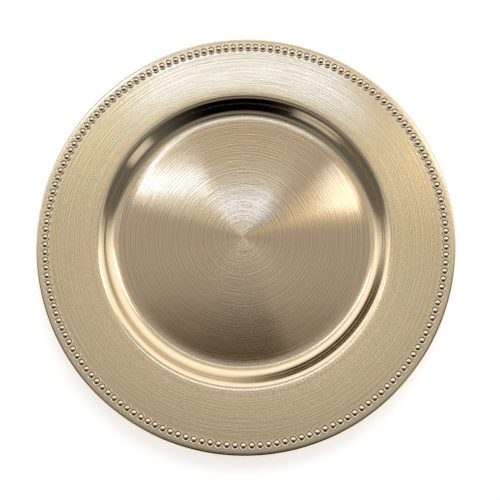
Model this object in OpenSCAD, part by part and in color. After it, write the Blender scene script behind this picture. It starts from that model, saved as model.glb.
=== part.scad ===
// Round charger plate with a beaded border: one pressed sheet whose edge is
// rolled round a wire, a border of half beads soldered on the rim, and a foot
// ring soldered under the well. Millimetres, +Z up. The origin is the centre of
// the circle on which the foot stands.

/* [Plate] */
// Diameter over the rolled edge
plate_d = 330; // [300:1:360]
// Thickness of the pressed sheet
sheet_t = 0.7; // [0.5:0.05:0.9]

/* [Well] */
// Diameter of the flat floor
floor_d = 203; // [190:1:206]
// Radius of the cove between the floor and the wall
cove_r = 11.5; // [8:0.5:13]
// Slope of the wall's straight part, in degrees
wall_angle = 54; // [40:1:60]
// Length of the wall's straight part
wall_run = 2.5; // [1:0.25:3]
// Radius of the shoulder between the wall and the rim
shoulder_r = 7.5; // [6:0.5:12]

/* [Rim] */
// Slope of the rim beside the well, in degrees
rim_slope_in = 7; // [5:0.25:7.25]
// Slope of the rim under the bead border, in degrees
rim_slope_out = 7.5; // [7.5:0.25:10]
// Distance from the bead row to the outside of the plate
lip_w = 7.9; // [7.4:0.1:10]
// Outside radius of the rolled edge
edge_roll_r = 2; // [1.6:0.1:2.3]
// Angle through which the edge is rolled, in degrees
edge_turn = 250; // [200:5:265]

/* [Bead border] */
// Distance from one bead to the next
bead_pitch = 6.17; // [6:0.01:6.6]
// Diameter of the ball that a bead is the upper half of
bead_d = 5.3; // [4.8:0.1:5.5]
// Height of a bead above its flat back
bead_h = 2.3; // [2:0.1:2.5]
// Width of the neck between two beads
neck_w = 2; // [1.4:0.1:2.4]

/* [Foot] */
// Distance from the edge of the flat floor to the outside of the foot ring
foot_inset = 3.5; // [1:0.5:16]
// Width of the foot ring's section
foot_w = 5; // [3.5:0.5:8]
// Height of the foot ring
foot_h = 2.4; // [2:0.1:4]
// Radius of the foot ring's lower corners
foot_corner_r = 0.9; // [0.4:0.1:1.2]

/* [Hidden] */
$fn = 180;

// Facets round a bead and round the wire's section
small_fn = 48;
// Largest turn and length of one flat step along the sheet's curves
step_turn = 5;
step_run = 6;

// Film of solder between the bead border and the rim
solder_gap = 0.05;
// Clearance of the wire inside the rolled edge
wire_clearance = 0.05;
// Space between the skirts of two neighbouring beads
skirt_gap = 0.15;
// Thickness of a bead's skirt at its edge, and the width and height of its flare
skirt_t = 0.3;
flare_w = 0.7;
flare_h = 0.35;
// How far a neck stays inside the top and back of a skirt, and how far it runs into one
neck_inset = 0.03;
neck_bite = 0.4;
// Straight rim left clear on the well side of the beads
seat_margin = 0.8;

plate_r = plate_d / 2;
floor_r = floor_d / 2;
foot_r = floor_r - foot_inset;
bead_r = bead_d / 2;

// The bead row, and the skirt that its beads leave room for
bead_row_r = plate_r - lip_w;
bead_count = round(2 * PI * bead_row_r / bead_pitch);
bead_step = 360 / bead_count;
skirt_r = bead_row_r * sin(bead_step / 2) - skirt_gap / 2;

// Radii at which the rim begins, where it runs straight, and where the edge begins to roll
rim_start_r = floor_r + cove_r * sin(wall_angle) + wall_run * cos(wall_angle)
    + shoulder_r * (sin(wall_angle) - sin(rim_slope_in));
seat_start_r = bead_row_r - skirt_r - seat_margin;
roll_start_r = plate_r - edge_roll_r * (1 + sin(rim_slope_out));
rim_curve_r = (seat_start_r - rim_start_r) / (sin(rim_slope_out) - sin(rim_slope_in));

// The upper face of the sheet from the centre to the edge. Each step is
// [length, turn]: a straight run where the turn is 0, and otherwise an arc of
// that radius, which turns up where the turn is positive.
dish_steps = [
    [floor_r, 0],
    [cove_r, wall_angle],
    [wall_run, 0],
    [shoulder_r, rim_slope_in - wall_angle],
    [rim_curve_r, rim_slope_out - rim_slope_in],
    [(roll_start_r - seat_start_r) / cos(rim_slope_out), 0]
];
roll_steps = [[edge_roll_r, -edge_turn]];

// A place on the sheet is [radius, height, slope].
centre_place = [0, foot_h + sheet_t, 0];

// The place at the end of a straight run
function after_run(place, length) = [
    place[0] + length * cos(place[2]),
    place[1] + length * sin(place[2]),
    place[2]
];

// The place at the end of an arc
function after_arc(place, radius, turn) = [
    place[0] + sign(turn) * radius * (sin(place[2] + turn) - sin(place[2])),
    place[1] + sign(turn) * radius * (cos(place[2]) - cos(place[2] + turn)),
    place[2] + turn
];

// How many flat steps an arc is drawn in
function arc_parts(radius, turn) =
    ceil(max(abs(turn) / step_turn, radius * abs(turn) * PI / 180 / step_run));

// Every place that is reached from a place by one step
function step_places(place, step) =
    step[1] == 0
        ? [after_run(place, step[0])]
        : let (parts = arc_parts(step[0], step[1]))
          [for (k = [1:parts]) after_arc(place, step[0], step[1] * k / parts)];

// The places along a row of steps, the first one included
function path_places(place, steps, i = 0) =
    i == len(steps)
        ? [place]
        : let (reached = step_places(place, steps[i]))
          concat([place], [for (k = [0:1:len(reached) - 2]) reached[k]],
              path_places(reached[len(reached) - 1], steps, i + 1));

// The point at that depth below a place on the sheet
function below(place, depth) = [
    place[0] + depth * sin(place[2]),
    place[1] - depth * cos(place[2])
];

dish_places = path_places(centre_place, dish_steps);
roll_start = dish_places[len(dish_places) - 1];
roll_places = path_places(roll_start, roll_steps);

// The place on the straight part of the rim at that radius
function rim_place(radius) = after_run(roll_start, (radius - roll_start_r) / cos(rim_slope_out));

// Pressed sheet: flat floor, cove, wall, shoulder, rim and rolled edge
module dish() {
    places = concat(dish_places, [for (k = [1:len(roll_places) - 1]) roll_places[k]]);
    color("darkkhaki")
        rotate_extrude()
            polygon(concat(
                [for (p = places) below(p, 0)],
                [for (i = [len(places) - 1:-1:0]) below(places[i], sheet_t)]
            ));
}

// One half bead with its flared skirt, its back on z = 0
module half_bead() {
    rotate_extrude($fn = small_fn) {
        polygon([
            [0, 0],
            [skirt_r, 0],
            [skirt_r, skirt_t],
            [skirt_r - flare_w, skirt_t + flare_h],
            [0, skirt_t + flare_h]
        ]);
        intersection() {
            translate([0, bead_h - bead_r])
                circle(bead_r, $fn = small_fn);
            square([bead_r, bead_h]);
        }
    }
}

// Neck that joins two neighbouring beads, its middle over the origin
module neck() {
    length = skirt_gap + 2 * neck_bite;
    translate([-neck_w / 2, -length / 2, neck_inset])
        cube([neck_w, length, skirt_t - 2 * neck_inset]);
}

// Border of half beads on the rim, with a neck from each bead to the next
module bead_border() {
    seat = below(rim_place(bead_row_r), -solder_gap);
    color("palegoldenrod")
        for (i = [0:bead_count - 1]) {
            rotate((i + 0.5) * bead_step)
                translate([seat[0], 0, seat[1]])
                    rotate([0, -rim_slope_out, 0])
                        half_bead();
            rotate(i * bead_step)
                translate([seat[0] * cos(bead_step / 2), 0, seat[1]])
                    rotate([0, -rim_slope_out, 0])
                        neck();
        }
}

// Wire inside the rolled edge
module edge_wire() {
    color("gray")
        rotate_extrude()
            translate(below(roll_start, edge_roll_r))
                circle(edge_roll_r - sheet_t - wire_clearance, $fn = small_fn);
}

// Ring soldered face to face under the well, on which the plate stands
module foot_ring() {
    color("darkkhaki")
        rotate_extrude()
            translate([foot_r - foot_w, 0]) {
                translate([0, foot_corner_r])
                    square([foot_w, foot_h - foot_corner_r]);
                translate([foot_corner_r, 0])
                    square([foot_w - 2 * foot_corner_r, foot_corner_r]);
                for (x = [foot_corner_r, foot_w - foot_corner_r])
                    translate([x, foot_corner_r])
                        circle(foot_corner_r, $fn = small_fn);
            }
}

dish();
bead_border();
edge_wire();
foot_ring();
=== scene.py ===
"""Round gold-toned charger plate with a beaded border, dressed for a studio picture.

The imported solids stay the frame. Smooth surfaces stand for the dish, the bead border, the edge wire
and the foot ring, and procedural metals give them their brushed and polished finishes. They have the
solids' sizes, apart from two gentler bends in the dish and a groove and ring round each bead's dome.
"""

import math
from typing import NamedTuple

import bpy
import numpy as np
from bpy.props import FloatProperty, FloatVectorProperty, IntProperty, PointerProperty
from bpy.types import Operator, Panel, PropertyGroup
from mathutils import Matrix, Vector


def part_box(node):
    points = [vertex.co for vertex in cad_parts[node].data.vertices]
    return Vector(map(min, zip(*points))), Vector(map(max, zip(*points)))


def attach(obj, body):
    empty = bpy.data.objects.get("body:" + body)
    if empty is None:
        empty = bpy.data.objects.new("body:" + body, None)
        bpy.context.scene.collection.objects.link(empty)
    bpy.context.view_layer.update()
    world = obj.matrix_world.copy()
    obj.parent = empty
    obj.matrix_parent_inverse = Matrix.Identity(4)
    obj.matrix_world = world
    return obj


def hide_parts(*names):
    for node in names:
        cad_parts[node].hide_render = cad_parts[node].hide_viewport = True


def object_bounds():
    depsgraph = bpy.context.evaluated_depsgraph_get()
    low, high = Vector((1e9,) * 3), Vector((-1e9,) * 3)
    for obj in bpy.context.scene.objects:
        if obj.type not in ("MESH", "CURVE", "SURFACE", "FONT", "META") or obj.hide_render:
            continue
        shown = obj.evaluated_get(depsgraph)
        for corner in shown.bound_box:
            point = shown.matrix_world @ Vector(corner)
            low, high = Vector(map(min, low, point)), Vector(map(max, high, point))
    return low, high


bl_info = {
    "name": "Charger Plate",
    "version": (1, 0, 0),
    "blender": (4, 5, 0),
    "location": "3D View > Sidebar > Charger Plate",
    "description": "Builds a gold-toned charger plate with a beaded border, and its studio",
    "category": "Add Mesh",
}

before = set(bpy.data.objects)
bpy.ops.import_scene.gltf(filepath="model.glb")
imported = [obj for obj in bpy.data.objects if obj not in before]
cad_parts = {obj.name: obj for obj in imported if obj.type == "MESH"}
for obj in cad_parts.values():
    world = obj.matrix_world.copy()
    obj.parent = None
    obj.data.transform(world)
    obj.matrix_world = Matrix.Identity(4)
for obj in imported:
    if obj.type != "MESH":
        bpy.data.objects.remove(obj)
CAD_LOW, CAD_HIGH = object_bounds()
FOOT_LOW, FOOT_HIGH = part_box("foot_ring")
MM = 0.001

# Sides of the turned pieces: the dish, a bead, and the foot and the wire
DISH_SIDES = 320
BEAD_SIDES = 8
RING_SIDES = 256
# Points down a bead's dome, round the wire's section and round a corner of the foot
DOME_POINTS = 4
WIRE_POINTS = 16
CORNER_POINTS = 9
# Points at which the sheet's outline is summed up
OUTLINE_POINTS = 40001
# Radius in metres below which a point counts as on the axis
ON_AXIS = 1e-9
# Faces that meet at less than this angle are shaded smooth, on the plate and on its beads
SHARP = math.radians(40)
BEAD_SHARP = math.radians(50)
# The dish's materials, by their slots
FLOOR, RIM, POLISHED, UNDER, LIP = range(5)


def length(name, description, millimetres):
    """A length property in metres whose default is given in millimetres."""
    return FloatProperty(
        name=name, description=description, default=millimetres * MM, min=0, precision=5, unit="LENGTH"
    )


def angle(name, description, degrees):
    """An angle property whose default is given in degrees."""
    return FloatProperty(name=name, description=description, default=math.radians(degrees), subtype="ANGLE")


def share(name, description, value):
    """A property without a unit that runs from 0 to 1."""
    return FloatProperty(name=name, description=description, default=value, min=0, max=1, subtype="FACTOR")


def amount(name, description, value):
    """A property without a unit, at least 0."""
    return FloatProperty(name=name, description=description, default=value, min=0)


def count(name, description, value):
    """A property that counts something, at least one."""
    return IntProperty(name=name, description=description, default=value, min=1)


def colour(name, description, value):
    """A linear colour property."""
    return FloatVectorProperty(
        name=name, description=description, default=value, size=3, min=0, max=1, subtype="COLOR"
    )


class ChargerSizes(PropertyGroup):
    """Sizes of the plate. The two eases, the dome's end, the groove and the ring aren't in the solids."""

    plate_d: length("Plate diameter", "Diameter over the rolled edge", 2 * min(-CAD_LOW.x, CAD_HIGH.x) / MM)
    sheet_t: length("Sheet", "Thickness of the pressed sheet", 0.7)
    floor_d: length("Floor", "Diameter of the flat floor", 203)
    cove_r: length("Cove", "Radius between the floor and the wall", 11.5)
    wall_angle: angle("Wall angle", "Slope of the wall's straight part", 54)
    wall_run: length("Wall", "Length of the wall's straight part", 2.5)
    shoulder_r: length("Shoulder", "Radius between the wall and the rim", 7.5)
    floor_ease: length("Floor ease", "Length over which the floor bends into the cove", 12)
    rim_ease: length("Rim ease", "Length over which the shoulder bends into the rim", 5)
    rim_slope_in: angle("Rim slope inside", "Slope of the rim beside the well", 7)
    rim_slope_out: angle("Rim slope outside", "Slope of the rim under the beads", 7.5)
    lip_w: length("Lip", "Distance from the bead row to the outside", 7.9)
    edge_roll_r: length("Edge roll", "Outside radius of the rolled edge", 2)
    edge_turn: angle("Edge turn", "Angle through which the edge is rolled", 250)
    seat_w: length("Bead seat", "Straight rim from the bead row towards the well", 3.81)
    bead_count: IntProperty(name="Beads", description="Number of beads in the border", default=160, min=3)
    bead_d: length("Bead", "Diameter of the ball that a bead is the upper half of", 5.3)
    bead_h: length("Bead height", "Height of a bead above its flat back", 2.3)
    skirt_gap: length("Skirt gap", "Space between the skirts of two beads", 0.15)
    skirt_t: length("Skirt", "Thickness of a bead's skirt at its edge", 0.3)
    dome_end: angle("Dome end", "How high round its ball a bead's dome ends in the groove", 45)
    groove_w: length("Groove", "Width of the groove round a bead's dome", 0.4)
    groove_slope: angle("Groove slope", "How steeply the groove falls away from a bead's dome", 11)
    ring_w: length("Ring", "Width of the outside of the raised ring round a bead's dome", 0.2)
    ring_slope: angle("Ring slope", "How steeply the ring climbs away from a bead's dome", 22)
    neck_w: length("Neck", "Width of the neck between two beads", 2)
    neck_bite: length("Neck bite", "How far a neck runs into a bead's skirt", 0.4)
    neck_inset: length("Neck inset", "How far a neck stays inside the top and back of a skirt", 0.03)
    solder_gap: length("Solder", "Film of solder between the border and the rim", 0.05)
    foot_w: length("Foot width", "Width of the foot ring's section", 5)
    wire_gap: length("Wire gap", "Clearance of the wire inside the rolled edge", 0.05)
    foot_corner_r: length("Foot corner", "Radius of the foot ring's lower corners", 0.9)


class ChargerFinish(PropertyGroup):
    """Colours and finishes of the metals."""

    gold: colour("Gold", "Reflected colour of the gold-toned plating", (1, 0.69, 0.33))
    wall_gold: colour("Wall gold", "Reflected colour of the wall's and lip's plating", (1, 0.76, 0.44))
    bead_gold: colour("Bead gold", "Reflected colour of the beads' plating", (1, 0.77, 0.47))
    # Painted shade: the near-black colour in the groove round each bead stands in for the shadow and dark
    # reflection in that crevice
    painted_groove_shade: colour("Groove gold", "Reflected colour of the grooves' dull plating", (0.05, 0.035, 0.02))
    grazing: colour("Grazing colour", "Reflected colour of every metal at a grazing angle", (1, 0.95, 0.86))
    steel: colour("Steel", "Reflected colour of the bare wire", (0.45, 0.45, 0.46))
    floor_shade: share("Floor shade", "Brightness of the well's floor beside the rim's", 0.72)
    floor_roughness: share("Floor roughness", "Roughness of the well's brushed floor", 0.14)
    floor_anisotropy: share("Floor anisotropy", "How far the floor's brush lines stretch a highlight", 1)
    rim_roughness: share("Rim roughness", "Roughness of the brushed rim", 0.21)
    rim_anisotropy: share("Rim anisotropy", "How far the rim's brush lines stretch a highlight", 0.65)
    under_roughness: share("Underside roughness", "Roughness of the satin underside", 0.3)
    under_anisotropy: share("Underside anisotropy", "How far the underside's lines stretch a highlight", 0.6)
    foot_roughness: share("Foot roughness", "Roughness of the satin foot ring", 0.28)
    foot_anisotropy: share("Foot anisotropy", "How far the foot ring's lines stretch a highlight", 0.5)
    brushed_slope: angle("Brushed slope", "Slope up to which the cove and the shoulder are brushed", 15)
    polished_roughness: share("Polished roughness", "Roughness of the wall and inside the rolled edge", 0.1)
    bead_roughness: share("Bead roughness", "Roughness of the beads", 0.05)
    # Roughness of the painted shade in the beads' grooves
    groove_roughness: share("Groove roughness", "Roughness of the dull plating in the grooves", 0.4)
    steel_roughness: share("Steel roughness", "Roughness of the bare wire", 0.35)
    lacquer: share("Lacquer", "Strength of the clear lacquer", 1)
    lacquer_roughness: share("Lacquer roughness", "Roughness of the clear lacquer", 0.06)
    lacquer_ior: FloatProperty(
        name="Lacquer IOR", description="Refractive index of the lacquer", default=2.5, min=1
    )
    line_spacing: length("Brush lines", "Distance from one brush line to the next", 0.8)
    hair_spacing: length("Hair lines", "Distance from one of the finest brush lines to the next", 0.15)
    line_sweep: count("Line sweep", "How many times in a turn the brush lines give way to others", 18)
    hair_sweep: count("Hair sweep", "How many times in a turn the finest brush lines give way to others", 30)
    line_lean: share("Line lean", "How far the brush lines lean the surface", 0.015)
    hair_lean: share("Hair lean", "How far the finest brush lines lean the surface", 0.15)
    line_contrast: amount("Line contrast", "How much the brush lines change the brightness", 2)
    rim_lines: share("Rim lines", "Strength of the rim's brush lines beside the floor's", 0.8)
    wall_lines: share("Wall lines", "Strength of the polished wall's brush lines beside the floor's", 0.35)
    lip_lines: share("Lip lines", "Strength of the lip's brush lines beside the floor's", 0.3)


class ChargerStudio(PropertyGroup):
    """The camera, the lamps, the room and the floor."""

    camera_distance: length("Camera distance", "From the camera to the point it is aimed at", 433.4)
    camera_tilt: angle("Camera tilt", "From straight down", 10.06)
    camera_azimuth: angle("Camera azimuth", "Turn of the camera round the plate", 16.87)
    camera_roll: angle("Camera roll", "Turn of the camera about its own axis", -16.42)
    aim: FloatVectorProperty(
        name="Aim",
        description="Point that the camera is aimed at",
        default=(0.0014, 0.0115, 0.018),
        size=3,
        unit="LENGTH",
    )
    lens: FloatProperty(
        name="Lens", description="Focal length for a 36 mm frame", default=39.6, unit="CAMERA"
    )
    shift: FloatVectorProperty(name="Shift", description="Lens shift", default=(0.012, -0.06), size=2)
    front: amount("Front", "Brightness of the room in front, where no side covers it", 0.26)
    back: amount("Back", "Brightness of the room behind, where no side covers it", 0.55)
    daylight: colour("Daylight", "Colour of the left and middle strip lights", (0.6, 0.75, 1))
    strip: amount("Strip", "Brightness of the left strip light", 3.7)
    middle_share: share("Middle share", "Brightness of the middle strip light beside the left one's", 0.8)
    right_strip: amount("Right strip", "Brightness of the right strip light", 1.8)
    key: FloatProperty(name="Key", description="Power of the shadow's lamp", default=4, min=0, unit="POWER")
    floor_colour: colour("Floor colour", "Colour of the studio's floor", (0.85, 0.86, 0.88))
    floor_glow: share("Floor glow", "How much the floor glows to the camera and in reflections", 0.55)


def follow(knots, slopes, eases):
    """Fine steps along a sheet whose slope runs evenly from knot to knot. Round a knot that is eased, the
    slope is its own mean over a window as wide as the ease. The radius and height are the sums of the
    slope's cosine and sine. Gives the distance along the sheet, the radius, the height and the slope."""
    along = np.linspace(0, knots[-1], OUTLINE_POINTS)
    step = along[1]
    slope = np.interp(along, knots, slopes)
    area = np.cumsum(slope) * step
    for knot, ease in eases:
        if ease:
            ahead = np.interp(along + ease / 2, along, area)
            behind = np.interp(along - ease / 2, along, area)
            slope = np.where(np.abs(along - knot) < ease / 2, (ahead - behind) / ease, slope)
    radius = np.concatenate([[0], np.cumsum(np.cos((slope[1:] + slope[:-1]) / 2)) * step])
    height = np.concatenate([[0], np.cumsum(np.sin((slope[1:] + slope[:-1]) / 2)) * step])
    return along, radius, height, slope


def sheet_places(sizes):
    """Places (radius, height, slope) along the upper face of the sheet, from the centre to the end of the
    rolled edge, and the zone of each step between them: floor, cove, wall, shoulder, rim, lip and roll, one
    after the other. The floor bends gently into the cove and the shoulder into the rim. What the two eases
    add to the height and the radius is taken off the wall's straight part and the floor, so the rim stays
    where it is without them."""
    s = sizes
    row_r = s.plate_d / 2 - s.lip_w
    seat_r = row_r - s.seat_w
    roll_r = s.plate_d / 2 - s.edge_roll_r * (1 + math.sin(s.rim_slope_out))
    rim_r = (
        s.floor_d / 2
        + s.cove_r * math.sin(s.wall_angle)
        + s.wall_run * math.cos(s.wall_angle)
        + s.shoulder_r * (math.sin(s.wall_angle) - math.sin(s.rim_slope_in))
    )
    rim_bend = (seat_r - rim_r) / (math.sin(s.rim_slope_out) - math.sin(s.rim_slope_in))
    # Zone, length along the sheet, slope at its end, and parts
    steps = (
        ("floor", s.floor_d / 2, 0, 30),
        ("cove", s.cove_r * s.wall_angle, s.wall_angle, 20),
        ("wall", s.wall_run, s.wall_angle, 3),
        ("shoulder", s.shoulder_r * (s.wall_angle - s.rim_slope_in), s.rim_slope_in, 20),
        ("rim", rim_bend * (s.rim_slope_out - s.rim_slope_in), s.rim_slope_out, 20),
        ("lip", (roll_r - seat_r) / math.cos(s.rim_slope_out), s.rim_slope_out, 5),
        ("roll", s.edge_roll_r * s.edge_turn, s.rim_slope_out - s.edge_turn, 40),
    )
    knots = np.cumsum([0, *(step[1] for step in steps)])
    slopes = [0, *(step[2] for step in steps)]
    floor_end, wall_start, wall_end, shoulder_end = knots[1:5]
    eases = ((floor_end, s.floor_ease), (shoulder_end, s.rim_ease))
    along, radius, height, slope = follow(knots, slopes, eases)
    _, plain_radius, plain_height, _ = follow(knots, slopes, ())
    rise = plain_height[-1] - height[-1]
    shorten = rise / math.tan(s.wall_angle)
    past_wall = along > (wall_start + wall_end) / 2
    height += np.where(past_wall, rise, 0) + FOOT_HIGH.z + s.sheet_t
    radius += np.where(past_wall, shorten, 0)
    radius += (plain_radius[-1] - radius[-1]) * np.clip(along / floor_end, 0, 1)
    zones = [zone for zone, _, _, parts in steps for _ in range(parts)]
    wanted = [np.linspace(knots[i], knots[i + 1], step[3] + 1)[1:] for i, step in enumerate(steps)]
    wanted = np.concatenate([[0], *wanted])
    return np.stack([np.interp(wanted, along, line) for line in (radius, height, slope)], axis=1), zones


def below(places, depth):
    """Points at a depth below the places, square to the sheet there."""
    return np.stack(
        [places[:, 0] + depth * np.sin(places[:, 2]), places[:, 1] - depth * np.cos(places[:, 2])], axis=1
    )


def rim_place(sizes, radius):
    """The place on the straight part of the rim at that radius: it climbs evenly with the radius."""
    places, zones = sheet_places(sizes)
    start_radius, start_height, slope = places[zones.index("lip")]
    return np.array([radius, start_height + (radius - start_radius) * math.tan(slope), slope])


def revolve(section, segments):
    """Turns a section of (radius, height) points round Z: each point's circle has that radius and height. A
    section whose first and last points lie on the axis gets one vertex at each. Other sections are closed
    into a loop. Gives the vertices, the faces and, for each face, the section's segment it comes from."""
    turn = np.linspace(0, 2 * math.pi, segments, endpoint=False)
    capped = abs(section[0, 0]) < ON_AXIS and abs(section[-1, 0]) < ON_AXIS
    rings = section[1:-1] if capped else section
    grid = np.stack(
        [
            rings[:, :1] * np.cos(turn),
            rings[:, :1] * np.sin(turn),
            np.broadcast_to(rings[:, 1:], (len(rings), segments)),
        ],
        axis=2,
    ).reshape(-1, 3)
    here = np.arange(segments)
    after = np.roll(here, -1)
    first = np.arange(len(rings) - 1 if capped else len(rings))
    second = (first + 1) % len(rings)
    quads = np.stack(
        np.broadcast_arrays(
            first[:, None] * segments + here,
            first[:, None] * segments + after,
            second[:, None] * segments + after,
            second[:, None] * segments + here,
        ),
        axis=2,
    ).reshape(-1, 4)
    owner = np.repeat(first + (1 if capped else 0), segments)
    if not capped:
        return grid, quads.tolist(), owner
    start, end = len(grid), len(grid) + 1
    grid = np.concatenate([grid, [[0, 0, section[0, 1]], [0, 0, section[-1, 1]]]])
    last = (len(rings) - 1) * segments
    opening = np.stack([np.full(segments, start), after, here], axis=1)
    closing = np.stack([last + here, last + after, np.full(segments, end)], axis=1)
    faces = opening.tolist() + quads.tolist() + closing.tolist()
    owner = np.concatenate([np.zeros(segments, int), owner, np.full(segments, len(section) - 2)])
    return grid, faces, owner


def add_piece(name, points, faces, materials, face_materials=None, sharp_angle=SHARP):
    """Makes a mesh object of the points and faces, smooth except where its faces meet at more than the sharp
    angle, with its normals outward."""
    mesh = bpy.data.meshes.new(name)
    mesh.from_pydata(points.tolist(), [], faces)
    for material in materials:
        mesh.materials.append(material)
    if face_materials is not None:
        mesh.polygons.foreach_set("material_index", np.asarray(face_materials, np.int32))
    mesh.polygons.foreach_set("use_smooth", np.ones(len(mesh.polygons), bool))
    mesh.set_sharp_from_angle(angle=sharp_angle)
    mesh.validate()
    mesh.update()
    if signed_volume(mesh) < 0:
        mesh.flip_normals()
    piece = bpy.data.objects.new(name, mesh)
    bpy.context.scene.collection.objects.link(piece)
    return piece


def signed_volume(mesh):
    """Sum over the triangles of a sixth of their corners' triple product. It is positive when they face
    outward."""
    mesh.calc_loop_triangles()
    corners = np.empty(len(mesh.loop_triangles) * 3, np.int32)
    mesh.loop_triangles.foreach_get("vertices", corners)
    places = np.empty(len(mesh.vertices) * 3)
    mesh.vertices.foreach_get("co", places)
    a, b, c = places.reshape(-1, 3)[corners].reshape(-1, 3, 3).transpose(1, 0, 2)
    return float(np.einsum("ij,ij->i", a, np.cross(b, c)).sum() / 6)


class Nodes:
    """A short way to fill a tree with nodes. Add gives the new node, and math, vector and ramp a result."""

    def __init__(self, tree):
        self.tree = tree
        tree.nodes.clear()

    def add(self, kind, inputs=(), **settings):
        node = self.tree.nodes.new(kind)
        for key, value in settings.items():
            setattr(node, key, value)
        for key, value in dict(inputs).items():
            self.put(node.inputs[key], value)
        return node

    def put(self, socket, value):
        if isinstance(value, bpy.types.NodeSocket):
            self.tree.links.new(value, socket)
        else:
            socket.default_value = value

    def math(self, operation, a, b=0.0, c=0.0):
        return self.add("ShaderNodeMath", {0: a, 1: b, 2: c}, operation=operation).outputs[0]

    def vector(self, operation, a, b=(0, 0, 0)):
        node = self.add("ShaderNodeVectorMath", {0: a, 1: b}, operation=operation)
        return node.outputs["Value" if operation in ("DOT_PRODUCT", "LENGTH") else "Vector"]

    def ramp(self, value, low, high, to_low=0.0, to_high=1.0):
        inputs = {"Value": value, "From Min": low, "From Max": high, "To Min": to_low, "To Max": to_high}
        return self.add("ShaderNodeMapRange", inputs, interpolation_type="SMOOTHSTEP").outputs["Result"]


# How many spacings outward the slow noise takes to change
SLOW_RUN = 20
# Between these values of the slow noise one set of rings gives way to the other
FADE_FROM, FADE_TO = 0.35, 0.65
# The rings' own noise, and the value about which a noise changes
RING_NOISE = {"Scale": 1, "Detail": 2, "Roughness": 0.6}
NOISE_MIDDLE = 0.5


def brush_lines(nodes, place, spacing, sweep):
    """Brush lines round Z: two sets of rings, each a noise of the radius alone that changes once in each
    spacing, which fade into one another where a slow noise changes round the circle. Sweep is how many times
    that one changes in a turn. Gives the lines, about zero, and the direction away from Z."""
    outward = nodes.vector("MULTIPLY", place, (1, 1, 0))
    radius = nodes.vector("LENGTH", outward)
    away = nodes.vector("NORMALIZE", outward)
    turn_radius = sweep / (2 * math.pi)
    round_part = nodes.vector("MULTIPLY", away, (turn_radius, turn_radius, 0))
    outward_run = nodes.math("DIVIDE", radius, spacing * SLOW_RUN)
    out_part = nodes.add("ShaderNodeCombineXYZ", {"Z": outward_run}).outputs[0]
    slow = nodes.add("ShaderNodeTexNoise", {"Vector": nodes.vector("ADD", round_part, out_part), "Scale": 1})
    rings = [
        nodes.add("ShaderNodeTexNoise", {"W": along, **RING_NOISE}, noise_dimensions="1D")
        for along in (nodes.math("DIVIDE", radius, spacing), nodes.math("DIVIDE", radius, -spacing))
    ]
    fade = nodes.ramp(slow.outputs["Fac"], FADE_FROM, FADE_TO)
    inputs = {"Factor": fade, "A": rings[0].outputs["Fac"], "B": rings[1].outputs["Fac"]}
    lines = nodes.add("ShaderNodeMix", inputs).outputs["Result"]
    return nodes.math("SUBTRACT", lines, NOISE_MIDDLE), away


def scaled(nodes, arrow, factor):
    """A vector times a number, either of them a value or a socket."""
    node = nodes.add("ShaderNodeVectorMath", {0: arrow, "Scale": factor}, operation="SCALE")
    return node.outputs["Vector"]


# A quarter turn of the tangent, so that a highlight is stretched across the brush lines
ACROSS = 0.25


def metal(name, finish, roughness, anisotropy=0.0, lines=0.0, shade=1.0, base=None, lacquer=None):
    """A metal, gold-toned plating under lacquer unless told otherwise. Brush lines lean the surface outward
    and inward from line to line, and make the metal a little lighter or darker. Lines is how strong they
    are, and shade how bright the metal is."""
    material = bpy.data.materials.new(name)
    material.use_nodes = True
    nodes = Nodes(material.node_tree)
    base = tuple(shade * part for part in (finish.gold if base is None else base))
    shader = nodes.add("ShaderNodeBsdfPrincipled")
    settings = {
        "Base Color": (*base, 1),
        "Metallic": 1,
        "Roughness": roughness,
        "Specular Tint": (*finish.grazing, 1),
        "Anisotropic": anisotropy,
        "Anisotropic Rotation": ACROSS,
        "Coat Weight": finish.lacquer if lacquer is None else lacquer,
        "Coat Roughness": finish.lacquer_roughness,
        "Coat IOR": finish.lacquer_ior,
    }
    for key, value in settings.items():
        shader.inputs[key].default_value = value
    if anisotropy:
        tangent = nodes.add("ShaderNodeTangent", direction_type="RADIAL", axis="Z")
        nodes.put(shader.inputs["Tangent"], tangent.outputs[0])
    if lines:
        place = nodes.add("ShaderNodeTexCoord").outputs["Object"]
        fine, away = brush_lines(nodes, place, finish.line_spacing, finish.line_sweep)
        hair, _ = brush_lines(nodes, place, finish.hair_spacing, finish.hair_sweep)
        hair_part = nodes.math("MULTIPLY", hair, finish.hair_lean * lines)
        lean = nodes.math("MULTIPLY_ADD", fine, finish.line_lean * lines, hair_part)
        straight = nodes.add("ShaderNodeNewGeometry").outputs["Normal"]
        normal = nodes.vector("NORMALIZE", nodes.vector("ADD", straight, scaled(nodes, away, lean)))
        nodes.put(shader.inputs["Normal"], normal)
        nodes.put(shader.inputs["Coat Normal"], normal)
        brightness = nodes.math("MULTIPLY_ADD", fine, finish.line_contrast * lines, 1)
        nodes.put(shader.inputs["Base Color"], scaled(nodes, base, brightness))
    output = nodes.add("ShaderNodeOutputMaterial")
    nodes.put(output.inputs["Surface"], shader.outputs[0])
    return material


def sheet_section(sizes, places):
    """Closed section of the sheet: outward along its upper face, and back along its lower one, which lies a
    sheet's thickness below, square to the upper."""
    return np.concatenate([below(places, 0), below(places[::-1], sizes.sheet_t)])


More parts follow.
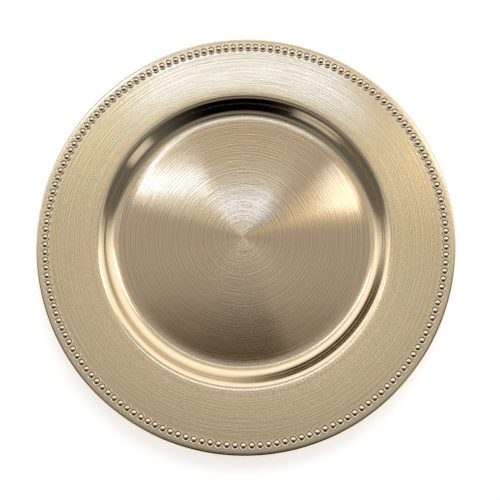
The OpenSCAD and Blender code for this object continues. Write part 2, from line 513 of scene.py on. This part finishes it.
class CHARGER_OT_dish(Operator):
    """Make the pressed dish: floor, cove, wall, shoulder, rim, lip and rolled edge"""

    bl_idname = "charger.dish"
    bl_label = "Dish"

    def execute(self, context):
        sizes, finish = context.scene.charger_sizes, context.scene.charger_finish
        places, zones = sheet_places(sizes)
        points, faces, owner = revolve(sheet_section(sizes, places), DISH_SIDES)
        made = {
            FLOOR: metal(
                "floor_gold", finish, finish.floor_roughness, finish.floor_anisotropy, 1, finish.floor_shade
            ),
            RIM: metal("rim_gold", finish, finish.rim_roughness, finish.rim_anisotropy, finish.rim_lines),
            POLISHED: metal(
                "polished_gold",
                finish,
                finish.polished_roughness,
                lines=finish.wall_lines,
                base=finish.wall_gold,
            ),
            UNDER: metal("satin_gold", finish, finish.under_roughness, finish.under_anisotropy, 1),
            LIP: metal(
                "lip_gold", finish, finish.rim_roughness, lines=finish.lip_lines, base=finish.wall_gold
            ),
        }
        slope = places[1:, 2]
        kinds = {"floor": FLOOR, "rim": RIM, "lip": LIP, "roll": LIP}
        upper = np.array([kinds.get(zone, POLISHED) for zone in zones])
        upper[(upper == POLISHED) & (slope > 0) & (slope < finish.brushed_slope)] = RIM
        lower = np.array([POLISHED if zone == "roll" else UNDER for zone in zones[::-1]])
        slots = np.concatenate([upper, [POLISHED], lower])
        dish = add_piece("dish_sheet", points, faces, [made[slot] for slot in sorted(made)], slots[owner])
        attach(dish, "root")
        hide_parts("dish")
        return {"FINISHED"}


def bead_section(sizes, skirt_r):
    """Half section of a bead from its top to the middle of its back: a round dome down to the groove round
    it, the groove, a raised ring that climbs away from the groove, the ring's outside and the flat back.
    Gives the section and the number of the segment that is the groove."""
    ball_r = sizes.bead_d / 2
    ring_r = skirt_r - sizes.ring_w
    rise = np.linspace(math.pi / 2, sizes.dome_end, DOME_POINTS)
    dome = np.stack([ball_r * np.cos(rise), sizes.bead_h - ball_r + ball_r * np.sin(rise)], axis=1)
    groove = dome[-1] + (sizes.groove_w, -sizes.groove_w * math.tan(sizes.groove_slope))
    crest = (ring_r, groove[1] + (ring_r - groove[0]) * math.tan(sizes.ring_slope))
    return np.concatenate([dome, [groove, crest, (skirt_r, 0), (0, 0)]]), len(dome) - 1


def neck_block(sizes):
    """The neck between two beads: a flat block about Z, out to its half width along X and its half length
    along Y, and an inset short of a skirt's top and back. Gives its corners and its faces."""
    half_length = sizes.skirt_gap / 2 + sizes.neck_bite
    half_width = sizes.neck_w / 2
    heights = (sizes.neck_inset, sizes.skirt_t - sizes.neck_inset)
    corners = [
        (x, y, z) for z in heights for x in (-half_width, half_width) for y in (-half_length, half_length)
    ]
    faces = [[0, 1, 3, 2], [4, 6, 7, 5], [0, 4, 5, 1], [2, 3, 7, 6], [0, 2, 6, 4], [1, 5, 7, 3]]
    return np.array(corners), faces


class CHARGER_OT_bead_border(Operator):
    """Make the border of half beads, with a neck from each to the next"""

    bl_idname = "charger.bead_border"
    bl_label = "Bead border"

    def execute(self, context):
        sizes, finish = context.scene.charger_sizes, context.scene.charger_finish
        row_r = sizes.plate_d / 2 - sizes.lip_w
        step = 2 * math.pi / sizes.bead_count
        skirt_r = row_r * math.sin(step / 2) - sizes.skirt_gap / 2
        section, groove = bead_section(sizes, skirt_r)
        bead, bead_faces, owner = revolve(section, BEAD_SIDES)
        neck, neck_faces = neck_block(sizes)
        numbers = np.arange(sizes.bead_count)
        points = np.concatenate(
            [
                self.placed(sizes, bead, row_r, (numbers + 0.5) * step),
                self.placed(sizes, neck, row_r * math.cos(step / 2), numbers * step),
            ]
        )
        faces = []
        offset = 0
        for shape, shape_faces in ((bead, bead_faces), (neck, neck_faces)):
            for number in numbers:
                start = offset + int(number) * len(shape)
                faces += [[start + corner for corner in face] for face in shape_faces]
            offset += sizes.bead_count * len(shape)
        gold = metal("bead_gold", finish, finish.bead_roughness, base=finish.bead_gold)
        # The grooves' near-black material is painted shade, standing in for the shadow and dark reflection
        # round each bead's dome
        painted_shade = metal("painted_groove_shade", finish, finish.groove_roughness, base=finish.painted_groove_shade, lacquer=0)
        slots = np.zeros(len(faces), int)
        # Each bead's groove faces take the painted shade
        slots[: sizes.bead_count * len(bead_faces)] = np.tile(owner == groove, sizes.bead_count)
        border = add_piece("bead_row", points, faces, (gold, painted_shade), slots, BEAD_SHARP)
        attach(border, "root")
        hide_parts("bead_border")
        return {"FINISHED"}

    @staticmethod
    def placed(sizes, shape, radius, turns):
        """Copies of a shape that stands on z = 0: tipped with the rim, moved out to the radius and turned
        round Z."""
        row_r = sizes.plate_d / 2 - sizes.lip_w
        seat = below(rim_place(sizes, row_r)[None], -sizes.solder_gap)[0]
        inset = row_r - radius
        slope = sizes.rim_slope_out
        out = shape[:, 0] * math.cos(slope) - shape[:, 2] * math.sin(slope) + seat[0] - inset
        up = shape[:, 0] * math.sin(slope) + shape[:, 2] * math.cos(slope) + seat[1]
        cos, sin = np.cos(turns)[:, None], np.sin(turns)[:, None]
        across = shape[:, 1]
        heights = np.broadcast_to(up, (len(turns), len(up)))
        copies = np.stack([out * cos - across * sin, out * sin + across * cos, heights], axis=2)
        return copies.reshape(-1, 3)


def foot_section(sizes):
    """Closed section of the foot: flat on top, upright at the sides and flat below, with a quarter of a
    circle at each lower corner."""
    outer = (FOOT_HIGH.x - FOOT_LOW.x) / 2
    inner = outer - sizes.foot_w
    corner = sizes.foot_corner_r
    turn = np.radians(np.linspace(0, 90, CORNER_POINTS))
    right = np.stack([outer - corner + corner * np.cos(turn), corner - corner * np.sin(turn)], axis=1)
    left = np.stack([inner + corner - corner * np.sin(turn), corner - corner * np.cos(turn)], axis=1)
    top = np.array([[inner, FOOT_HIGH.z], [outer, FOOT_HIGH.z]])
    return np.concatenate([top, right, left])


class CHARGER_OT_foot_ring(Operator):
    """Make the foot ring, with round lower corners"""

    bl_idname = "charger.foot_ring"
    bl_label = "Foot ring"

    def execute(self, context):
        sizes, finish = context.scene.charger_sizes, context.scene.charger_finish
        points, faces, _ = revolve(foot_section(sizes), RING_SIDES)
        satin = metal("foot_gold", finish, finish.foot_roughness, finish.foot_anisotropy, 1)
        foot = add_piece("foot", points, faces, (satin,))
        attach(foot, "root")
        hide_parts("foot_ring")
        return {"FINISHED"}


def wire_section(sizes):
    """Section of the wire: a circle about the middle of the edge's roll, short of the roll's inside by the
    wire's gap."""
    places, zones = sheet_places(sizes)
    middle = below(places[zones.index("roll")][None], sizes.edge_roll_r)[0]
    turn = np.linspace(0, 2 * math.pi, WIRE_POINTS, endpoint=False)
    radius = sizes.edge_roll_r - sizes.sheet_t - sizes.wire_gap
    return middle + radius * np.stack([np.cos(turn), np.sin(turn)], axis=1)


class CHARGER_OT_edge_wire(Operator):
    """Make the bare steel wire inside the rolled edge"""

    bl_idname = "charger.edge_wire"
    bl_label = "Edge wire"

    def execute(self, context):
        sizes, finish = context.scene.charger_sizes, context.scene.charger_finish
        points, faces, _ = revolve(wire_section(sizes), RING_SIDES)
        steel = metal("bare_steel", finish, finish.steel_roughness, base=finish.steel, lacquer=0)
        wire = add_piece("wire", points, faces, (steel,))
        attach(wire, "root")
        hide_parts("edge_wire")
        return {"FINISHED"}


def direction(azimuth):
    """Level unit vector at an azimuth in degrees from +X towards +Y."""
    return (math.cos(math.radians(azimuth)), math.sin(math.radians(azimuth)), 0)


class Side(NamedTuple):
    """A lighter or darker side of the room, in degrees. It shows round its azimuth to half its width on
    either hand, with soft ends. It begins to show at one elevation and is full at the other and beyond."""

    azimuth: float
    half_width: float
    softness: float
    begins: float
    full: float
    brightness: float


BACK_PANEL = Side(azimuth=90, half_width=80, softness=10, begins=70, full=55, brightness=1.3)
LOW_BACK = Side(azimuth=70, half_width=60, softness=30, begins=40, full=0, brightness=0.8)
BACK_GAP = Side(azimuth=130, half_width=30, softness=15, begins=40, full=10, brightness=0)
FRONT = Side(azimuth=270, half_width=90, softness=10, begins=65, full=55, brightness=0.15)
CAMERA_SHADE = Side(azimuth=270, half_width=30, softness=20, begins=80, full=50, brightness=0)
LEFT_WINDOW = Side(azimuth=230, half_width=10, softness=5, begins=40, full=20, brightness=0.6)
RIGHT_WINDOW = Side(azimuth=325, half_width=5, softness=5, begins=50, full=20, brightness=0.8)
OVERHEAD_SHADE = Side(azimuth=240, half_width=45, softness=35, begins=75, full=80, brightness=0)
# Each side covers the ones before it
SIDES = (BACK_PANEL, LOW_BACK, BACK_GAP, FRONT, CAMERA_SHADE, LEFT_WINDOW, RIGHT_WINDOW, OVERHEAD_SHADE)
# Azimuth of the back of the room, and half the width of the seam overhead between its front and back, as a
# share of how far off the seam is
BEHIND = 90
ROOM_SEAM = 0.03


class Strip(NamedTuple):
    """A strip light that faces the floor: its height in metres, and its middle and size as shares of the
    height."""

    height: float
    middle: tuple
    size: tuple


LEFT_STRIP = Strip(height=8, middle=(-0.25, 0.25), size=(0.25, 0.05))
MIDDLE_STRIP = Strip(height=8, middle=(-0.05, 0.2), size=(0.1, 0.05))
RIGHT_STRIP = Strip(height=2, middle=(0.3, 0.25), size=(0.35, 0.1))
WHITE = (1, 1, 1)
# The shadow's lamp: its place and its size in metres
KEY_PLACE = (0.2, 0.9, 1.2)
KEY_SIZE = (0.7, 0.5)
# Half the side of the studio's floor, and how near and how far the camera sees, in metres
FLOOR_HALF = 4.0
SEES_FROM, SEES_TO = 0.01, 50
# Width of the camera's frame in millimetres
FRAME_WIDTH = 36


class CHARGER_OT_stage(Operator):
    """Make the floor, the light tent, the lamps and the camera"""

    bl_idname = "charger.stage"
    bl_label = "Stage"

    def execute(self, context):
        studio = context.scene.charger_studio
        self.floor(studio)
        self.tent(context.scene, studio)
        self.strip("strip_left", LEFT_STRIP, studio.strip, studio.daylight)
        self.strip("strip_middle", MIDDLE_STRIP, studio.middle_share * studio.strip, studio.daylight)
        self.strip("strip_right", RIGHT_STRIP, studio.right_strip, WHITE)
        self.key(studio)
        self.camera(context.scene, studio)
        context.scene.view_settings.view_transform = "Standard"
        return {"FINISHED"}

    def floor(self, studio):
        """A wide flat square on which the foot stands. It is diffuse and keeps the plate's shadow, and it
        also glows to the camera and in reflections, so it is white there where the light reaches it."""
        material = bpy.data.materials.new("studio_floor")
        material.use_nodes = True
        nodes = Nodes(material.node_tree)
        diffuse = nodes.add("ShaderNodeBsdfDiffuse", {"Color": (*studio.floor_colour, 1)}).outputs[0]
        path = nodes.add("ShaderNodeLightPath")
        seen = nodes.math("MAXIMUM", path.outputs["Is Camera Ray"], path.outputs["Is Glossy Ray"])
        strength = nodes.math("MULTIPLY", seen, studio.floor_glow)
        glow = nodes.add("ShaderNodeEmission", {"Strength": strength}).outputs[0]
        both = nodes.add("ShaderNodeAddShader", {0: diffuse, 1: glow}).outputs[0]
        nodes.add("ShaderNodeOutputMaterial", {"Surface": both})
        points = FLOOR_HALF * np.array([(-1, -1, 0), (1, -1, 0), (1, 1, 0), (-1, 1, 0)])
        mesh = bpy.data.meshes.new("studio_floor")
        mesh.from_pydata(points.tolist(), [], [[0, 1, 2, 3]])
        mesh.materials.append(material)
        floor = bpy.data.objects.new("studio_floor", mesh)
        bpy.context.scene.collection.objects.link(floor)

    def tent(self, scene, studio):
        """The world: a room that is dim in front and brighter behind, with a large soft panel behind the
        plate and a few darker and brighter sides, and plain white where the camera sees it."""
        world = bpy.data.worlds.new("studio_room")
        scene.world = world
        world.use_nodes = True
        nodes = Nodes(world.node_tree)
        towards = nodes.vector("NORMALIZE", nodes.add("ShaderNodeTexCoord").outputs["Generated"])
        height = nodes.vector("DOT_PRODUCT", towards, (0, 0, 1))
        sideways = nodes.vector("NORMALIZE", nodes.vector("MULTIPLY", towards, (1, 1, 0)))
        behind = nodes.vector("DOT_PRODUCT", towards, direction(BEHIND))
        level = nodes.ramp(behind, -ROOM_SEAM, ROOM_SEAM, studio.front, studio.back)
        for side in SIDES:
            near = nodes.vector("DOT_PRODUCT", sideways, direction(side.azimuth))
            edge = math.cos(math.radians(side.half_width + side.softness))
            core = math.cos(math.radians(side.half_width - side.softness))
            begins, full = math.sin(math.radians(side.begins)), math.sin(math.radians(side.full))
            part = nodes.math("MULTIPLY", nodes.ramp(near, edge, core), nodes.ramp(height, begins, full))
            inputs = {"Factor": part, "A": level, "B": float(side.brightness)}
            level = nodes.add("ShaderNodeMix", inputs).outputs["Result"]
        seen = nodes.add("ShaderNodeLightPath").outputs["Is Camera Ray"]
        strength = nodes.add("ShaderNodeMix", {"Factor": seen, "A": level, "B": 1.0}).outputs["Result"]
        light = nodes.add("ShaderNodeBackground", {"Strength": strength}).outputs[0]
        nodes.add("ShaderNodeOutputWorld", {"Surface": light})

    def lamp(self, name, power, place, target, size):
        """An area lamp of that size at a place, turned to the target."""
        data = bpy.data.lights.new(name, "AREA")
        data.shape = "RECTANGLE"
        data.size, data.size_y = size
        data.energy = power
        lamp = bpy.data.objects.new(name, data)
        lamp.location = place
        lamp.rotation_euler = (Vector(place) - Vector(target)).to_track_quat("Z", "Y").to_euler()
        bpy.context.scene.collection.objects.link(lamp)
        return lamp

    def strip(self, name, strip, radiance, tint):
        """A strip light over the floor. Its power is its brightness times pi and its area."""
        place = Vector((*strip.middle, 1)) * strip.height
        size = (strip.size[0] * strip.height, strip.size[1] * strip.height)
        power = radiance * math.pi * size[0] * size[1]
        lamp = self.lamp(name, power, place, place - Vector((0, 0, 1)), size)
        lamp.data.color = tint

    def key(self, studio):
        """A large soft lamp behind the plate, left out of reflections, which throws the shadow forward."""
        lamp = self.lamp("key", studio.key, KEY_PLACE, (0, 0, 0), KEY_SIZE)
        lamp.visible_glossy = False

    def camera(self, scene, studio):
        """The camera, tilted from straight down, turned round the plate and rolled about its own axis."""
        data = bpy.data.cameras.new("camera")
        data.sensor_width = FRAME_WIDTH
        data.lens = studio.lens
        data.shift_x, data.shift_y = studio.shift
        data.clip_start, data.clip_end = SEES_FROM, SEES_TO
        camera = bpy.data.objects.new("camera", data)
        turn = (
            Matrix.Rotation(studio.camera_azimuth, 4, "Z")
            @ Matrix.Rotation(studio.camera_tilt, 4, "X")
            @ Matrix.Rotation(studio.camera_roll, 4, "Z")
        )
        back = Vector((0, 0, studio.camera_distance))
        camera.matrix_world = Matrix.Translation(Vector(studio.aim)) @ turn @ Matrix.Translation(back)
        scene.collection.objects.link(camera)
        scene.camera = camera


class CHARGER_PT_panel(Panel):
    """Lists the plate's sizes, finishes, studio and makers"""

    bl_idname = "CHARGER_PT_panel"
    bl_label = "Charger Plate"
    bl_space_type = "VIEW_3D"
    bl_region_type = "UI"
    bl_category = "Charger Plate"

    def draw(self, context):
        layout = self.layout
        for maker in MAKERS:
            layout.operator(maker.bl_idname)
        scene = context.scene
        for group in (scene.charger_sizes, scene.charger_finish, scene.charger_studio):
            box = layout.box()
            for name in group.__annotations__:
                box.prop(group, name)


MAKERS = (
    CHARGER_OT_dish,
    CHARGER_OT_bead_border,
    CHARGER_OT_foot_ring,
    CHARGER_OT_edge_wire,
    CHARGER_OT_stage,
)
CLASSES = (ChargerSizes, ChargerFinish, ChargerStudio, *MAKERS, CHARGER_PT_panel)


def register():
    """Registers the classes and gives the scene its three groups of values."""
    for item in CLASSES:
        bpy.utils.register_class(item)
    bpy.types.Scene.charger_sizes = PointerProperty(type=ChargerSizes)
    bpy.types.Scene.charger_finish = PointerProperty(type=ChargerFinish)
    bpy.types.Scene.charger_studio = PointerProperty(type=ChargerStudio)


def unregister():
    """Undoes what register does."""
    del bpy.types.Scene.charger_studio
    del bpy.types.Scene.charger_finish
    del bpy.types.Scene.charger_sizes
    for item in reversed(CLASSES):
        bpy.utils.unregister_class(item)


def main():
    """Registers the classes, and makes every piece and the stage."""
    register()
    bpy.ops.charger.dish()
    bpy.ops.charger.bead_border()
    bpy.ops.charger.foot_ring()
    bpy.ops.charger.edge_wire()
    bpy.ops.charger.stage()


if __name__ == "__main__":
    main()
